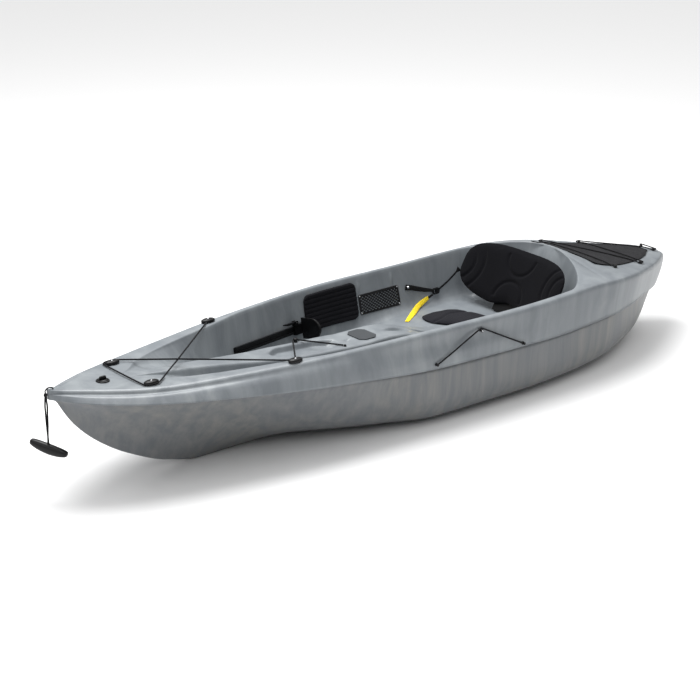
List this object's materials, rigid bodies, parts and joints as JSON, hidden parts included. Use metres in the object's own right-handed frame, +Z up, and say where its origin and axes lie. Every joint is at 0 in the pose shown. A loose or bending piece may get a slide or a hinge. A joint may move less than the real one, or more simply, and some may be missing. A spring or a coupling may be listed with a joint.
{
  "type": "sit-inside fishing kayak",
  "caption": "Sit-inside fishing kayak with padded seat, sliding foot pedals, thigh pads, deck bungees, carrying toggle and a covered rear well.",
  "frame": {"origin": "on the flat of the keel, amidships", "axes": "+X to the bow, +Y to port, +Z up"},
  "size_m": [3.1013, 0.776, 0.4652],
  "materials": {
    "deck_plastic": "moulded satin",
    "hull_plastic": "moulded satin",
    "foam": "matte closed-cell foam with a cloth face",
    "flotation": "expanded foam",
    "black_plastic": "moulded matte",
    "grey_plastic": "moulded matte",
    "webbing": "woven",
    "yellow_webbing": "woven",
    "elastic": "braided cover",
    "netting": "knotted mesh",
    "steel": "brushed"
  },
  "bodies": {
    "boat": {"hull_shell": "hull_plastic", "deck_shell": "deck_plastic", "seat_foam_pillar": "flotation", "bow_foam_block": "flotation", "stern_foam_block": "flotation", "seat_pad": "foam", "thigh_pad_port": "foam", "thigh_pad_starboard": "foam", "seat_hinge_tab": "black_plastic", "strap_buckle_port": "black_plastic", "strap_buckle_starboard": "black_plastic", "foot_rail_port": "black_plastic", "foot_rail_starboard": "black_plastic", "bow_guide_port": "black_plastic", "bow_guide_starboard": "black_plastic", "mid_guide_port": "black_plastic", "mid_guide_starboard": "black_plastic", "front_keeper_post": "black_plastic", "front_keeper_grommet": "black_plastic", "side_keeper_plug_front": "black_plastic", "side_keeper_plug_rear": "black_plastic", "side_keeper_peg": "black_plastic", "drain_plug_seat": "black_plastic", "tankwell_button_port_1": "black_plastic", "tankwell_button_starboard_1": "black_plastic", "tankwell_button_port_2": "black_plastic", "tankwell_button_starboard_2": "black_plastic", "tankwell_button_port_3": "black_plastic", "tankwell_button_starboard_3": "black_plastic", "console_pad": "grey_plastic", "seat_tab_rivet_port": "steel", "seat_tab_rivet_starboard": "steel", "strap_rivet_port": "steel", "strap_rivet_starboard": "steel", "strap_anchor_port": "webbing", "strap_anchor_starboard": "webbing", "seat_strap_port": "webbing", "seat_strap_starboard": "webbing", "strap_tail_port": "yellow_webbing", "strap_tail_starboard": "yellow_webbing", "bow_bungee": "elastic", "front_keeper_cord": "elastic", "side_keeper_cord": "elastic", "bow_cord_loop": "elastic", "tankwell_bungee": "elastic", "mesh_pocket": "netting", "tankwell_cover": "netting"},
    "seat_back": {"seat_back_pad": "foam", "seat_back_board": "black_plastic"},
    "pedal_port": {"foot_pedal_port": "black_plastic", "pedal_pin_port": "steel"},
    "pedal_starboard": {"foot_pedal_starboard": "black_plastic", "pedal_pin_starboard": "steel"},
    "lever_port": {"pedal_lever_port": "grey_plastic"},
    "lever_starboard": {"pedal_lever_starboard": "grey_plastic"},
    "bow_handle": {"bow_toggle_cord": "elastic", "bow_toggle": "black_plastic"},
    "drain_knob": {"drain_plug": "black_plastic"}
  },
  "joints": [
    {"name": "seat_back_tilt", "type": "hinge", "parent": "boat", "child": "seat_back", "pos_m": [-0.6277, 0, 0.2143], "axis": [0, 1, 0], "range_deg": [-6, 54], "deforming": ["seat_strap_port", "seat_strap_starboard"]},
    {"name": "foot_pedal_port_slide", "type": "slide", "parent": "boat", "child": "pedal_port", "axis": [0.9882, -0.153, 0], "range_m": [0, 0.31]},
    {"name": "foot_pedal_starboard_slide", "type": "slide", "parent": "boat", "child": "pedal_starboard", "axis": [0.9882, 0.153, 0], "range_m": [0, 0.31]},
    {"name": "pedal_lever_port_press", "type": "hinge", "parent": "pedal_port", "child": "lever_port", "pos_m": [0.23535, 0.2862, 0.29484], "axis": [-0.1511, -0.9766, 0.1533], "range_deg": [0, 25], "stiffness_Nm_per_rad": 0.05},
    {"name": "pedal_lever_starboard_press", "type": "hinge", "parent": "pedal_starboard", "child": "lever_starboard", "pos_m": [0.23535, -0.2862, 0.29484], "axis": [0.1511, -0.9766, -0.1533], "range_deg": [0, 25], "stiffness_Nm_per_rad": 0.05},
    {"name": "bow_toggle_swing", "type": "hinge", "parent": "boat", "child": "bow_handle", "pos_m": [1.5326, 0, 0.402], "axis": [0, -1, 0], "range_deg": [-5, 100]},
    {"name": "drain_plug_turn", "type": "hinge", "parent": "boat", "child": "drain_knob", "pos_m": [1.3, 0, 0.4], "axis": [0, 0, 1], "continuous": true}
  ]
}
